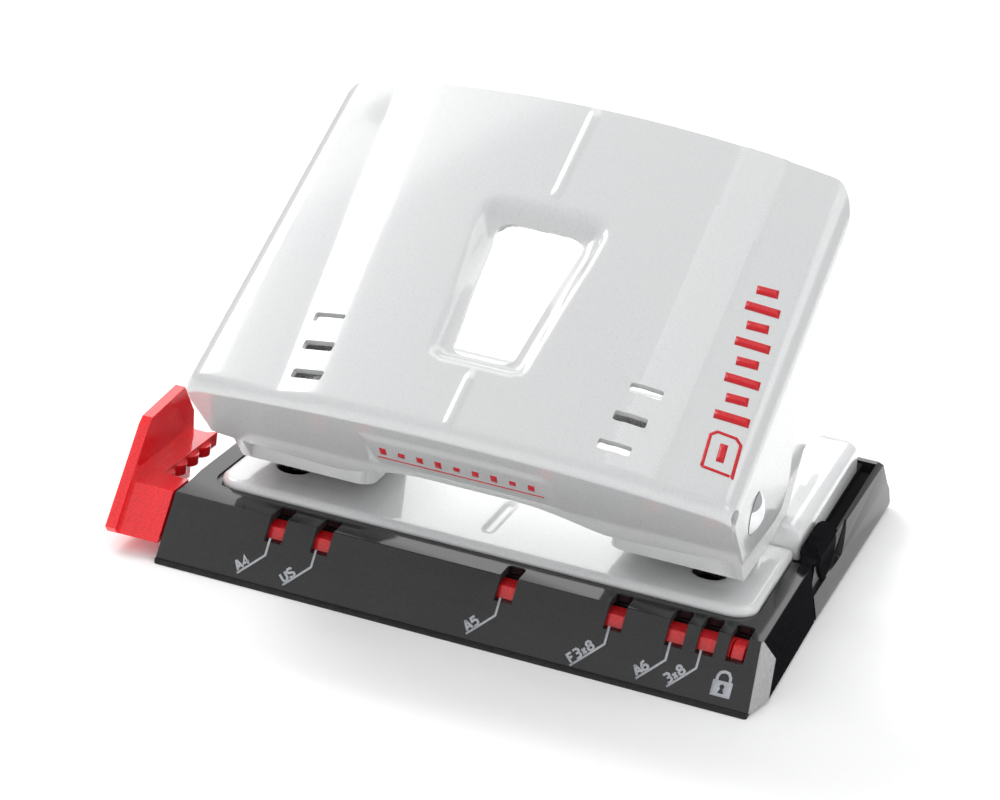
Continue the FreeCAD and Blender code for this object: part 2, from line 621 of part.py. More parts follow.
def assembly():
    nodes = {"base_shell": base_shell(), "guide_cover": guide_cover(), "floor_pan": floor_pan()}
    nodes.update({"rear_deck": rear_deck(), "base_screws": base_screws()})
    nodes.update({"paper_table": paper_table(), "rear_plate": rear_plate()})
    nodes.update({"bracket_rivets": bracket_rivets(), "handle": handle(), "press_bar": press_bar()})
    nodes.update({"lock_slider": lock_slider(), "chip_drawer": chip_drawer()})
    nodes.update({"paper_guide": paper_guide(), "index_tab": index_tab()})
    nodes["base_mat"] = base_mat()
    nodes.update(mirrored_pairs())
    return nodes


for node, shape in assembly().items():
    shape.exportStep("parts/" + node + ".step")
    print(node, "valid" if shape.isValid() else "INVALID", len(shape.Solids), round(shape.Volume, 1))
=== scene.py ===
import bmesh
import bpy
import json
import math
from mathutils import Matrix, Vector
from mathutils.geometry import delaunay_2d_cdt


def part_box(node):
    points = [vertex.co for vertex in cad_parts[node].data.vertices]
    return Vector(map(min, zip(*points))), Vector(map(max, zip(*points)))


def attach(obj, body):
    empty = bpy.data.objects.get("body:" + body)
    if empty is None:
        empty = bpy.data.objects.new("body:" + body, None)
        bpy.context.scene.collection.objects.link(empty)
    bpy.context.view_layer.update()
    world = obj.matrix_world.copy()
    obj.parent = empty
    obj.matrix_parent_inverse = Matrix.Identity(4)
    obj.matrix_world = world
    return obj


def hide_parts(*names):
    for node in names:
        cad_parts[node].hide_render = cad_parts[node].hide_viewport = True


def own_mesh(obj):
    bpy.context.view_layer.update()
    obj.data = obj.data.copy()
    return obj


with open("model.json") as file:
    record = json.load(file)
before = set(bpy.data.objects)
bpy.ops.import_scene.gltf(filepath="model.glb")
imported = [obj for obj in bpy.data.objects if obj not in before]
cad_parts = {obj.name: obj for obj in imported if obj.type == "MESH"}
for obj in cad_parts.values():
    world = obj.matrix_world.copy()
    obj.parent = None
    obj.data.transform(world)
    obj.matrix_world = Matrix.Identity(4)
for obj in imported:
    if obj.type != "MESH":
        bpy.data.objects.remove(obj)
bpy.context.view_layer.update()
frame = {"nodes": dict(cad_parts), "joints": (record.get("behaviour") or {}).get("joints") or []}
NODES = frame["nodes"]
MM = 0.001

# The punch is drawn in millimetres in the row frame: +X to the lock's side,
# +Y to the rear, +Z up. Meshes are written in metres, and the camera, the lights
# and the materials are in metres too.


def node_box(node):
    """Lowest and highest corner of a CAD node, in millimetres."""
    low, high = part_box(node)
    return low / MM, high / MM


# ---- camera ---------------------------------------------------------------
CAMERA_PLACE = Vector((0.126832, -0.490606, 0.213403))
CAMERA_RIGHT = Vector((0.940411, 0.314145, 0.130152))
CAMERA_UP = Vector((-0.226629, 0.293685, 0.928649))
CAMERA_BACK = Vector((0.253507, -0.902808, 0.347379))
CAMERA_LENS = 102.8        # millimetres, for a sensor 36 mm wide
CAMERA_SHIFT = (-0.0015, -0.003)


def make_camera():
    """Camera in front, to the right of the middle and above the lever."""
    data = bpy.data.cameras.new("camera")
    data.sensor_width = 36.0
    data.lens = CAMERA_LENS
    data.shift_x, data.shift_y = CAMERA_SHIFT
    data.clip_start = 0.01
    data.clip_end = 20.0
    camera = bpy.data.objects.new("camera", data)
    bpy.context.scene.collection.objects.link(camera)
    turn = Matrix((CAMERA_RIGHT, CAMERA_UP, CAMERA_BACK)).transposed().to_4x4()
    camera.matrix_world = Matrix.Translation(CAMERA_PLACE) @ turn
    bpy.context.scene.camera = camera


# ---- materials ------------------------------------------------------------
def material(name, **values):
    """A Principled material; uniform values are set on the shader itself."""
    made = bpy.data.materials.new(name)
    made.use_nodes = True
    shader = made.node_tree.nodes["Principled BSDF"]
    for key, value in values.items():
        shader.inputs[key.replace("_", " ")].default_value = value
    return made, made.node_tree, shader


def texture(tree, kind, scale, stretch=(1, 1, 1), **options):
    """A 3-D texture on the piece's own coordinates; scale is in cells per metre."""
    place = tree.nodes.new("ShaderNodeTexCoord")
    mapping = tree.nodes.new("ShaderNodeMapping")
    mapping.inputs["Scale"].default_value = stretch
    tree.links.new(place.outputs["Object"], mapping.inputs["Vector"])
    node = tree.nodes.new(kind)
    node.inputs["Scale"].default_value = scale
    for key, value in options.items():
        node.inputs[key].default_value = value
    tree.links.new(mapping.outputs["Vector"], node.inputs["Vector"])
    return node


def spread(tree, source, low, high, from_low=0.3, from_high=0.7):
    """Maps a texture's value onto a range."""
    node = tree.nodes.new("ShaderNodeMapRange")
    node.inputs["From Min"].default_value = from_low
    node.inputs["From Max"].default_value = from_high
    node.inputs["To Min"].default_value = low
    node.inputs["To Max"].default_value = high
    tree.links.new(source, node.inputs["Value"])
    return node.outputs["Result"]


def tint(tree, factor, first, second):
    """Mixes two colours by a factor."""
    node = tree.nodes.new("ShaderNodeMix")
    node.data_type = "RGBA"
    node.inputs["A"].default_value = (*first, 1)
    node.inputs["B"].default_value = (*second, 1)
    tree.links.new(factor, node.inputs["Factor"])
    return node.outputs["Result"]


def bump(tree, shader, height, strength, distance):
    """Bump by a texture's height on the shader's normal; distance is in metres."""
    node = tree.nodes.new("ShaderNodeBump")
    node.inputs["Strength"].default_value = strength
    node.inputs["Distance"].default_value = distance
    tree.links.new(height, node.inputs["Height"])
    tree.links.new(node.outputs["Normal"], shader.inputs["Normal"])


def edge_wear(tree, base, worn, amount):
    """Colour output that turns to the worn colour on sharp convex edges."""
    geometry = tree.nodes.new("ShaderNodeNewGeometry")
    factor = spread(tree, geometry.outputs["Pointiness"], 0.0, amount, 0.53, 0.62)
    node = tree.nodes.new("ShaderNodeMix")
    node.data_type = "RGBA"
    node.inputs["B"].default_value = (*worn, 1)
    tree.links.new(base, node.inputs["A"])
    tree.links.new(factor, node.inputs["Factor"])
    return node.outputs["Result"]


def pearl_paint(name, flake, tone=1.0):
    """Glossy white paint with a pearl grain of fine flakes."""
    made, tree, shader = material(
        name, Coat_Weight=1.0, Coat_Roughness=0.07, Coat_IOR=1.55, Specular_IOR_Level=0.4)
    grain = texture(tree, "ShaderNodeTexNoise", 2600, Detail=3.0)
    cloud = texture(tree, "ShaderNodeTexNoise", 35, Detail=2.0)
    factor = spread(tree, grain.outputs["Fac"], 0.0, 1.0)
    light = [0.665 * tone, 0.67 * tone, 0.675 * tone]
    dark = [0.575 * tone, 0.585 * tone, 0.59 * tone]
    colour = tint(tree, factor, light, dark)
    wash = tree.nodes.new("ShaderNodeMix")
    wash.data_type = "RGBA"
    wash.inputs["B"].default_value = (0.62 * tone, 0.622 * tone, 0.618 * tone, 1)
    tree.links.new(colour, wash.inputs["A"])
    tree.links.new(spread(tree, cloud.outputs["Fac"], 0.0, 0.5), wash.inputs["Factor"])
    worn = edge_wear(tree, wash.outputs["Result"], (0.58, 0.58, 0.57), 0.35)
    tree.links.new(worn, shader.inputs["Base Color"])
    tree.links.new(spread(tree, grain.outputs["Fac"], 0.24, 0.42), shader.inputs["Roughness"])
    flakes = texture(tree, "ShaderNodeTexVoronoi", 3800)
    bump(tree, shader, flakes.outputs["Color"], flake, 0.00004)
    return made


def moulded_plastic(name, colour, roughness, grain_scale, relief, **values):
    """Injection-moulded plastic: fine grain, uneven gloss, faint scratches."""
    made, tree, shader = material(name, **values)
    grain = texture(tree, "ShaderNodeTexNoise", grain_scale, Detail=4.0)
    cloud = texture(tree, "ShaderNodeTexNoise", 60, Detail=3.0)
    scratch = texture(tree, "ShaderNodeTexNoise", 420, (0.05, 1, 1), Detail=3.0)
    lighter = [min(1.0, c * 1.45 + 0.004) for c in colour]
    base = tint(tree, spread(tree, grain.outputs["Fac"], 0.0, 1.0), colour, lighter)
    worn = [min(1.0, c * 1.8 + 0.02) for c in colour]
    tree.links.new(edge_wear(tree, base, worn, 0.5), shader.inputs["Base Color"])
    gloss = tree.nodes.new("ShaderNodeMath")
    gloss.operation = "ADD"
    tree.links.new(spread(tree, cloud.outputs["Fac"], roughness * 0.7, roughness), gloss.inputs[0])
    tree.links.new(spread(tree, scratch.outputs["Fac"], 0.0, 0.06, 0.55, 0.8), gloss.inputs[1])
    tree.links.new(gloss.outputs["Value"], shader.inputs["Roughness"])
    bump(tree, shader, grain.outputs["Fac"], relief, 0.00006)
    return made


def metal(name, colour, roughness, stretch, scratch_relief):
    """Bare metal with stretched brushing and uneven dullness."""
    made, tree, shader = material(name, Metallic=1.0)
    brush = texture(tree, "ShaderNodeTexNoise", 1800, stretch, Detail=4.0)
    cloud = texture(tree, "ShaderNodeTexNoise", 160, Detail=2.0)
    dull = [c * 0.72 for c in colour]
    base = tint(tree, spread(tree, cloud.outputs["Fac"], 0.0, 1.0), colour, dull)
    tree.links.new(base, shader.inputs["Base Color"])
    gloss = spread(tree, brush.outputs["Fac"], roughness * 0.7, roughness * 1.4)
    tree.links.new(gloss, shader.inputs["Roughness"])
    bump(tree, shader, brush.outputs["Fac"], scratch_relief, 0.00003)
    return made


def ink(name, colour):
    """Pad-printed ink: slightly uneven cover, satin."""
    made, tree, shader = material(name, Specular_IOR_Level=0.4)
    grain = texture(tree, "ShaderNodeTexNoise", 2200, Detail=3.0)
    thin = [c * 0.82 for c in colour]
    base = tint(tree, spread(tree, grain.outputs["Fac"], 0.0, 1.0), colour, thin)
    tree.links.new(base, shader.inputs["Base Color"])
    tree.links.new(spread(tree, grain.outputs["Fac"], 0.28, 0.5), shader.inputs["Roughness"])
    bump(tree, shader, grain.outputs["Fac"], 0.1, 0.00002)
    return made


PEARL = pearl_paint("pearl_white", 0.12, 0.98)
# Lighter copy of the pearl with stronger flakes. Its lighter tone is a painted highlight for the
# lamp's glare on the right band.
GLARE_PEARL = pearl_paint("pearl_band_painted_glare", 0.6, 1.06)
WHITE = pearl_paint("gloss_white", 0.03, 1.24)
INK_BLACK = [0.006, 0.006, 0.007]
BLACK = moulded_plastic("gloss_black", INK_BLACK, 0.12, 1500, 0.03, Specular_IOR_Level=0.3)
DEEP = moulded_plastic("deep_black", INK_BLACK, 0.3, 1500, 0.03, Specular_IOR_Level=0.0)
DIM = moulded_plastic("dim_black", INK_BLACK, 0.2, 1500, 0.03, Specular_IOR_Level=0.1)
SLOPE = moulded_plastic(
    "grained_black", [0.016, 0.016, 0.017], 0.5, 3400, 0.55, Specular_IOR_Level=0.45)
# Light grey that stands in for a painted reflection: the black plastic of the shell's right-end
# front facets, lit by the light at the right.
PAINTED_REFLECTION_GREY = moulded_plastic("painted_reflection_grey", [0.27, 0.27, 0.274], 0.3, 5200, 0.02)
UNDER = moulded_plastic("matt_black", [0.02, 0.02, 0.02], 0.6, 900, 0.4)
RUBBER = moulded_plastic(
    "rubber", [0.013, 0.013, 0.013], 0.85, 700, 0.6, Specular_IOR_Level=0.25)
RED = moulded_plastic(
    "gloss_red", [0.74, 0.012, 0.018], 0.16, 3000, 0.02,
    Subsurface_Weight=0.25, Subsurface_Scale=0.002, Coat_Weight=0.3, Coat_Roughness=0.05)
STEEL = metal("plain_steel", [0.46, 0.46, 0.45], 0.28, (1, 1, 0.06), 0.25)
CHROME = metal("chrome", [0.86, 0.87, 0.88], 0.06, (1, 0.3, 1), 0.04)
GREY_INK = ink("grey_ink", [0.47, 0.49, 0.52])
RED_INK = ink("red_ink", [0.60, 0.004, 0.012])

# Finish of each CAD node that stays.
LOOKS = {
    "floor_pan": UNDER, "rear_deck": DEEP, "base_screws": STEEL, "bracket_rivets": STEEL,
    "press_bar": STEEL, "left_pin_bush": STEEL, "right_pin_bush": STEEL,
    "left_punch_pin": STEEL, "right_punch_pin": STEEL,
}


# ---- mesh helpers ---------------------------------------------------------
def piece(name, mesh, look, body, node=None):
    """Links a mesh in the row frame as a piece that rides on a CAD body."""
    looks = look if isinstance(look, list) else [look]
    for each in looks:
        mesh.materials.append(each)
    made = bpy.data.objects.new(name, mesh)
    bpy.context.scene.collection.objects.link(made)
    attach(made, body)
    if node is not None:
        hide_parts(node)
    return made


def mesh_of(name, points, faces, smooth_angle=40):
    """A smooth-shaded mesh of points in millimetres."""
    mesh = bpy.data.meshes.new(name)
    mesh.from_pydata([Vector(p) * MM for p in points], [], faces)
    mesh.validate()
    shade(mesh, smooth_angle)
    return mesh


def shade(mesh, angle):
    """Smooth shading that stops at edges sharper than an angle in degrees."""
    mesh.shade_smooth()
    mesh.set_sharp_from_angle(angle=math.radians(angle))


def soften(made, width, segments=3, angle=32):
    """Rounds a piece's edges by a width in millimetres."""
    mod = made.modifiers.new("edges", "BEVEL")
    mod.width = width * MM
    mod.segments = segments
    mod.limit_method = "ANGLE"
    mod.angle_limit = math.radians(angle)
    mod.harden_normals = True
    mod.use_clamp_overlap = True


def thicken(made, thickness):
    """Gives a sheet its thickness in millimetres, below its surface."""
    mod = made.modifiers.new("sheet", "SOLIDIFY")
    mod.thickness = thickness * MM
    mod.offset = -1.0


def refined(node, body, look, width, segments=3):
    """A clean copy of a CAD node's mesh, standing for it; a width rounds its edges."""
    bm = bmesh.new()
    bm.from_mesh(NODES[node].data)
    bmesh.ops.remove_doubles(bm, verts=bm.verts[:], dist=2e-6)
    bmesh.ops.dissolve_limit(
        bm, angle_limit=math.radians(0.6), verts=bm.verts[:], edges=bm.edges[:])
    bmesh.ops.recalc_face_normals(bm, faces=bm.faces[:])
    mesh = bpy.data.meshes.new(node + "_look")
    bm.to_mesh(mesh)
    bm.free()
    shade(mesh, 30)
    made = piece(node + "_look", mesh, look, body, node)
    if width > 0:
        soften(made, width, segments)
    return made


def ring_loft(rings):
    """Points and faces of a stack of rings with equal counts, capped at both ends."""
    count = len(rings[0])
    points = [p for ring in rings for p in ring]
    faces = []
    for k in range(len(rings) - 1):
        for i in range(count):
            j = (i + 1) % count
            faces.append((k * count + i, k * count + j, (k + 1) * count + j, (k + 1) * count + i))
    faces.append(tuple(reversed(range(count))))
    top = (len(rings) - 1) * count
    faces.append(tuple(range(top, top + count)))
    return points, faces


def round_rect(x0, x1, y0, y1, radii, steps=8):
    """Counter-clockwise outline; radii for corners (x1,y0), (x1,y1), (x0,y1), (x0,y0)."""
    corners = [(x1, y0, 1, -1, -90), (x1, y1, 1, 1, 0), (x0, y1, -1, 1, 90), (x0, y0, -1, -1, 180)]
    points = []
    for (x, y, sx, sy, start), r in zip(corners, radii):
        cx = x - sx * r
        cy = y - sy * r
        for k in range(steps + 1):
            a = math.radians(start + 90 * k / steps)
            points.append((cx + r * math.cos(a), cy + r * math.sin(a)))
    return points


def dense(outline, step):
    """Adds points along the straight runs of a closed outline."""
    made = []
    for a, b in zip(outline, outline[1:] + outline[:1]):
        length = math.dist(a, b)
        if length < 1e-6:
            continue
        count = max(1, math.ceil(length / step))
        for k in range(count):
            f = k / count
            made.append((a[0] + (b[0] - a[0]) * f, a[1] + (b[1] - a[1]) * f))
    return made


def circle(cx, cy, r, count):
    """Points of a circle, counter-clockwise from +X."""
    angles = [2 * math.pi * k / count for k in range(count)]
    return [(cx + r * math.cos(a), cy + r * math.sin(a)) for a in angles]


def inside(point, outline):
    """True if a point lies within a closed outline."""
    x, y = point
    hit = False
    for (ax, ay), (bx, by) in zip(outline, outline[1:] + outline[:1]):
        if (ay > y) != (by > y) and x < (bx - ax) * (y - ay) / (by - ay) + ax:
            hit = not hit
    return hit


def sheet_mesh(name, outline, holes, inner, surface, smooth_angle=40):
    """Triangulated sheet: flat outline with holes, mapped by surface(u, v)."""
    points, edges = [], []
    for loop in [outline] + holes:
        start = len(points)
        points += loop
        edges += [(start + k, start + (k + 1) % len(loop)) for k in range(len(loop))]
    points += inner
    flat = [Vector(p) for p in points]
    verts, _, faces, _, _, _ = delaunay_2d_cdt(flat, edges, [], 1, 1e-5)
    kept = []
    for face in faces:
        cx = sum(verts[i][0] for i in face) / len(face)
        cy = sum(verts[i][1] for i in face) / len(face)
        if not any(inside((cx, cy), hole) for hole in holes):
            kept.append(tuple(face))
    used = sorted({i for face in kept for i in face})
    index = {old: new for new, old in enumerate(used)}
    mapped = [surface(verts[i][0], verts[i][1]) for i in used]
    return mesh_of(name, mapped, [tuple(index[i] for i in face) for face in kept], smooth_angle)


def spans(low, high, step):
    """Evenly spaced values from low to high, about a step apart."""
    count = max(1, round((high - low) / step))
    return [low + (high - low) * k / count for k in range(count + 1)]


def smooth(x):
    """Eases from 0 to 1 as x goes from 0 to 1."""
    x = min(1.0, max(0.0, x))
    return x * x * (3 - 2 * x)


# ---- lever ----------------------------------------------------------------
pivot_joint = next(j for j in frame["joints"] if j["name"] == "handle_pivot")
PIVOT = Vector(pivot_joint["pos_m"]) / MM
TILT = math.radians(30.7)
ORIGIN_Y = PIVOT.y - 23.0
ORIGIN_Z = PIVOT.z + 11.0
HALF = node_box("handle")[1].x
LEVER_L = 79.0
ARCH_R = 215.0
SHOULDER_R = 4.5
FOLD_R = 2.3
RAKE = 0.352               # skirt's run along the lever per unit of drop
SKIRT_T = -2.0             # where the skirt's plane meets the crown's level
SHEET = 1.15

ARCH_X = (HALF - SHOULDER_R) / (1 - SHOULDER_R / ARCH_R)
ARCH_ANGLE = math.asin(ARCH_X / ARCH_R)
ARCH_U = ARCH_R * ARCH_ANGLE
SIDE_U = ARCH_U + SHOULDER_R * (math.pi / 2 - ARCH_ANGLE)
BEND_X = ARCH_X - SHOULDER_R * math.sin(ARCH_ANGLE)
BEND_N = -ARCH_R * (1 - math.cos(ARCH_ANGLE)) - SHOULDER_R * math.cos(ARCH_ANGLE)
FOLD_ANGLE = math.pi / 2 + math.atan(RAKE)
FOLD_W = SKIRT_T + FOLD_R * math.tan(FOLD_ANGLE / 2)
FOLD_END_W = FOLD_W - FOLD_R * FOLD_ANGLE
FOLD_DROP = FOLD_R * (1 - math.cos(FOLD_ANGLE))
PLANE_LEN = math.hypot(1, RAKE)


def section(u):
    """Point and angle on the lever's cross-section at arc length u."""
    s = abs(u)
    side = -1 if u < 0 else 1
    if s < ARCH_U:
        angle = s / ARCH_R
        return side * ARCH_R * math.sin(angle), -ARCH_R * (1 - math.cos(angle)), side * angle
    if s < SIDE_U:
        angle = ARCH_ANGLE + (s - ARCH_U) / SHOULDER_R
        x = side * (BEND_X + SHOULDER_R * math.sin(angle))
        return x, BEND_N + SHOULDER_R * math.cos(angle), side * angle
    return side * HALF, BEND_N - (s - SIDE_U), side * math.pi / 2


def arc_at(x):
    """Arc length u at a distance x from the middle."""
    s = abs(x)
    side = -1 if x < 0 else 1
    if s < ARCH_X:
        return side * ARCH_R * math.asin(s / ARCH_R)
    sine = min(1.0, (s - BEND_X) / SHOULDER_R)
    return side * (ARCH_U + SHOULDER_R * (math.asin(sine) - ARCH_ANGLE))


def to_world(x, t, n):
    """Row frame point for t along the lever and n off its plane."""
    y = ORIGIN_Y + t * math.cos(TILT) - n * math.sin(TILT)
    z = ORIGIN_Z + t * math.sin(TILT) + n * math.cos(TILT)
    return x, y, z


HOLE_T = (16.5, 49.2)
HOLE_HALF = (5.5, 8.4)
RIM_T = (14.4, 53.4)
RIM_HALF = (8.6, 12.1)
RIM_DEPTH = 1.1
RIM_DROP = 1.2             # the rim lies this much deeper at the rear
LEAN = 0.07                # slope of the left flank that leans out
LEFT_BAND_X = -27.0        # middle of the left pressed V at the skirt
LEFT_BAND_TURN = 7.8 / 78.0
LEFT_BAND_HALF = 4.2


def between(pair, t, ends):
    """A value that goes from pair[0] to pair[1] as t goes from ends[0] to ends[1]."""
    f = (t - ends[0]) / (ends[1] - ends[0])
    return pair[0] + (pair[1] - pair[0]) * f


def left_bands(x, t):
    """Shallow pressed V at the left: a flank that leans out, then one that leans in."""
    middle = LEFT_BAND_X - LEFT_BAND_TURN * t
    inner = middle + LEFT_BAND_HALF
    outer = middle - LEFT_BAND_HALF
    slope = LEAN * (1 - 0.5 * smooth((t - 66.0) / 12.0)) * smooth((t + 1.0) / 3.0)
    foot = -(ARCH_X - 0.3)
    low = -slope * (inner - outer)
    if x > inner or x < foot:
        return 0.0
    if x > outer:
        return low * (inner - x) / (inner - outer)
    return low * (x - foot) / (outer - foot)


def right_band(x, t):
    """Shallow raised band at the right."""
    middle = 31.0 + 0.9 * t / 78.0
    return smooth((4.7 - abs(x - middle)) / 0.9)


def rim(x, t):
    """Depth of the pressed rim round the finger hole."""
    inner = between(HOLE_HALF, t, HOLE_T)
    outer = between(RIM_HALF, t, RIM_T)
    across = (abs(x) - inner) / (outer - inner)
    along = max((HOLE_T[0] - t) / (HOLE_T[0] - RIM_T[0]), (t - HOLE_T[1]) / (RIM_T[1] - HOLE_T[1]))
    q = math.hypot(max(across, 0.0), max(along, 0.0))
    if q >= 1:
        return 0.0
    rear = smooth((t - 44.0) / 8.0)
    step = smooth((1 - q) / 0.62)
    scoop = (1 - q) ** 1.25
    return (step * (1 - rear) + scoop * rear) * (RIM_DEPTH + RIM_DROP * smooth((t - 30.0) / 19.0))


def pressing(x, t):
    """Height of the pressed details over the arch."""
    height = -rim(x, t)
    if t < RIM_T[0] or t > RIM_T[1]:
        if t < RIM_T[0]:
            fade = smooth((12.9 - t) / 1.5)
        else:
            fade = smooth((t - 55.0) / 1.5) * smooth(78.4 - t)
        height += 0.3 * fade * smooth(1.15 - abs(x)) * smooth((t + 1.5) / 2.0)
    height += left_bands(x, t) + 0.2 * right_band(x, t)
    return height


def lever_point(u, w, lift=0.0):
    """Lever surface: u is arc length across, w the distance behind the skirt's plane
    at the crown, negative past the fold and down the skirt."""
    x, n0, angle = section(u)
    shift = -n0 * RAKE
    if w >= FOLD_W or abs(u) > SIDE_U:
        t = w + shift
        h = lift
        if abs(u) < ARCH_U:
            h += pressing(x, t)
        return to_world(x + h * math.sin(angle), t, n0 + h * math.cos(angle))
    turn = min(FOLD_ANGLE, (FOLD_W - w) / FOLD_R)
    straight = max(0.0, FOLD_END_W - w)
    pad = 0.0
    if straight > 0:
        drop = straight / PLANE_LEN
        pad = 0.3 * smooth(16.8 - abs(x)) * smooth(drop - 5.0) * smooth(19.0 - drop)
    t = FOLD_W + shift - (FOLD_R + lift + pad) * math.sin(turn) + straight * RAKE / PLANE_LEN
    n = n0 - FOLD_R + (FOLD_R + lift + pad) * math.cos(turn) - straight / PLANE_LEN
    t += h_top(x, t, turn)[0]
    n += h_top(x, t, turn)[1]
    return to_world(x, t, n)


def h_top(x, t, turn):
    """Carries the pressed details' height round the first part of the fold."""
    if abs(x) > ARCH_X:
        return 0.0, 0.0
    h = pressing(x, max(t, 0.0)) * smooth(1 - turn / FOLD_ANGLE)
    return -h * math.sin(turn), h * math.cos(turn)


def plane_w(x, n):
    """Surface coordinate w of a point on the skirt at height n."""
    start = section(arc_at(x))[1] - FOLD_DROP
    return FOLD_END_W - (start - n) * PLANE_LEN


SKIRT_EDGE = [
    (0.0, -24.1), (9.0, -24.1), (12.5, -24.7), (15.5, -25.9), (18.0, -27.2), (21.8, -29.4),
    (24.0, -30.3), (26.5, -30.6), (33.0, -30.0), (42.0, -28.7), (48.5, -27.3)]
FLANGE_EDGE = [
    (7.5, -27.0), (11.5, -29.0), (20.0, -35.0), (28.0, -40.0), (32.0, -41.8), (34.0, -41.4),
    (36.0, -39.8), (37.3, -37.6), (38.0, -34.6), (38.5, -31.7), (39.3, -28.8), (40.6, -26.0),
    (42.3, -23.8), (44.4, -22.2), (46.9, -21.2), (50.2, -20.2), (53.1, -18.6), (56.8, -15.8),
    (60.2, -12.9), (63.2, -10.6), (65.6, -9.6)]


def lever_outline():
    """Right half of the blank, from the skirt's middle round to the rear's."""
    half = []
    for (xa, na), (xb, nb) in zip(SKIRT_EDGE, SKIRT_EDGE[1:]):
        for f in (0.0, 0.25, 0.5, 0.75):
            x = xa + (xb - xa) * f
            half.append((arc_at(x), plane_w(x, na + (nb - na) * f)))
    side_x = 48.55
    for n in (-27.3, -24.0, -20.0, -16.0, -12.5):
        half.append((arc_at(side_x), plane_w(side_x, n)))
    notch_u = SIDE_U - 1.0
    notch_w = SKIRT_T + 1.2
    for k in range(9):
        a = math.radians(215 - 230 * k / 8)
        half.append((notch_u + 1.5 * math.cos(a), notch_w + 2.0 * math.sin(a)))
    for n in (-12.0, -16.0, -20.0, -24.0):
        half.append((SIDE_U + BEND_N - n, SKIRT_T + 0.15))
    for t, n in FLANGE_EDGE:
        half.append((SIDE_U + BEND_N - n, t + RAKE * n))
    corner_r = 4.5
    for k in range(1, 9):
        a = math.pi / 2 * k / 8
        x = HALF - corner_r * (1 - math.cos(a))
        t = LEVER_L - corner_r * (1 - math.sin(a)) - 2.5 * (1 - smooth(k / 8))
        u = arc_at(x)
        half.append((u, t + RAKE * section(u)[1]))
    for x in (38.0, 30.0, 22.0, 14.0, 7.0, 0.0):
        u = arc_at(x)
        half.append((u, LEVER_L + RAKE * section(u)[1]))
    return half


def flat_of(x, t):
    """Surface coordinates of a point of the lever's top."""
    u = arc_at(x)
    return u, t + RAKE * section(u)[1]


def slant_share(u):
    """How far the mesh lines follow the left band's slant: 1 on it, 0 at both ends."""
    if u > 0 or u < -ARCH_U:
        return 0.0
    return min(u / LEFT_BAND_X, (u + ARCH_U) / (ARCH_U + LEFT_BAND_X))


def make_handle():
    """The lever as one pressed sheet: meshed flat, then bent by lever_point."""
    half = lever_outline()
    left = [(-u, w) for u, w in reversed(half)]
    outline = dense(half[:-1] + left[:-1], 0.8)
    hole = round_trapezoid(HOLE_HALF, HOLE_T, 3.0)
    holes = [[flat_of(x, t) for x, t in dense(hole, 0.5)]]
    for side in (-1, 1):
        for row in range(3):
            along = 5.6 + 6.6 * row
            middle = side * (27.3 + 0.66 * row)
            slot = round_rect(
                middle - 2.85, middle + 2.85, along - 1.05, along + 1.05, [0.45] * 4, 3)
            holes.append([flat_of(x, t) for x, t in dense(slot, 0.5)])
    inner = []
    across = spans(-ARCH_U, ARCH_U, 0.85)
    across += [s * u for s in (-1, 1) for u in (0.25, 0.55, 0.85, 1.15)]
    bend = spans(ARCH_U, SIDE_U, 0.4)
    side = spans(SIDE_U, SIDE_U + 34, 1.1)
    lines = across + [s * u for s in (-1, 1) for u in bend[1:] + side[1:]]
    rows = spans(-34.0, FOLD_END_W, 1.0)
    rows += spans(FOLD_END_W, FOLD_W, 0.3)[1:]
    rows += spans(FOLD_W, 80.0, 0.85)[1:]
    edge_cells = {}
    for loop in [outline] + holes:
        for u, w in loop:
            edge_cells.setdefault((round(u), round(w)), []).append((u, w))
    for straight_u in lines:
        for w in rows:
            u = straight_u - LEFT_BAND_TURN * max(0.0, w) * slant_share(straight_u)
            cells = [(round(u) + a, round(w) + b) for a in (-1, 0, 1) for b in (-1, 0, 1)]
            near = [p for cell in cells for p in edge_cells.get(cell, ())]
            if any(math.dist((u, w), p) < 0.38 for p in near):
                continue
            if not near and abs(u) < ARCH_U and FOLD_END_W < w < 72:
                if not (abs(u) < 9 and 14 < w < 52):
                    inner.append((u, w))
                    continue
            if inside((u, w), outline) and not any(inside((u, w), loop) for loop in holes):
                inner.append((u, w))
    mesh = sheet_mesh("lever_sheet", outline, holes, inner, lever_point, 50)
    made = piece("lever_sheet", mesh, [PEARL, GLARE_PEARL], "lever", "handle")
    # Faces on the right band get the lighter pearl: a painted highlight where the lamp's glare
    # falls.
    for face in mesh.polygons:
        c = face.center / MM
        t = (c.y - ORIGIN_Y) * math.cos(TILT) + (c.z - ORIGIN_Z) * math.sin(TILT)
        n = (c.z - ORIGIN_Z) * math.cos(TILT) - (c.y - ORIGIN_Y) * math.sin(TILT)
        if n > -6 and t > 2 and right_band(c.x, t) > 0.5:
            face.material_index = 1
    thicken(made, SHEET)
    soften(made, 0.22, 2, 60)


def round_trapezoid(halves, ends, r):
    """Counter-clockwise outline, wider at the far end, with rounded corners."""
    corners = [(halves[0], ends[0]), (halves[1], ends[1])]
    corners += [(-x, t) for x, t in reversed(corners)]
    made = []
    for k in range(4):
        p = Vector(corners[k])
        a = (Vector(corners[k - 1]) - p).normalized()
        b = (Vector(corners[(k + 1) % 4]) - p).normalized()
        reach = r / math.tan(a.angle(b) / 2)
        start = p + a * reach
        end = p + b * reach
        for i in range(7):
            f = i / 6
            q = start.lerp(p, f).lerp(p.lerp(end, f), f)
            made.append((q.x, q.y))
    return made


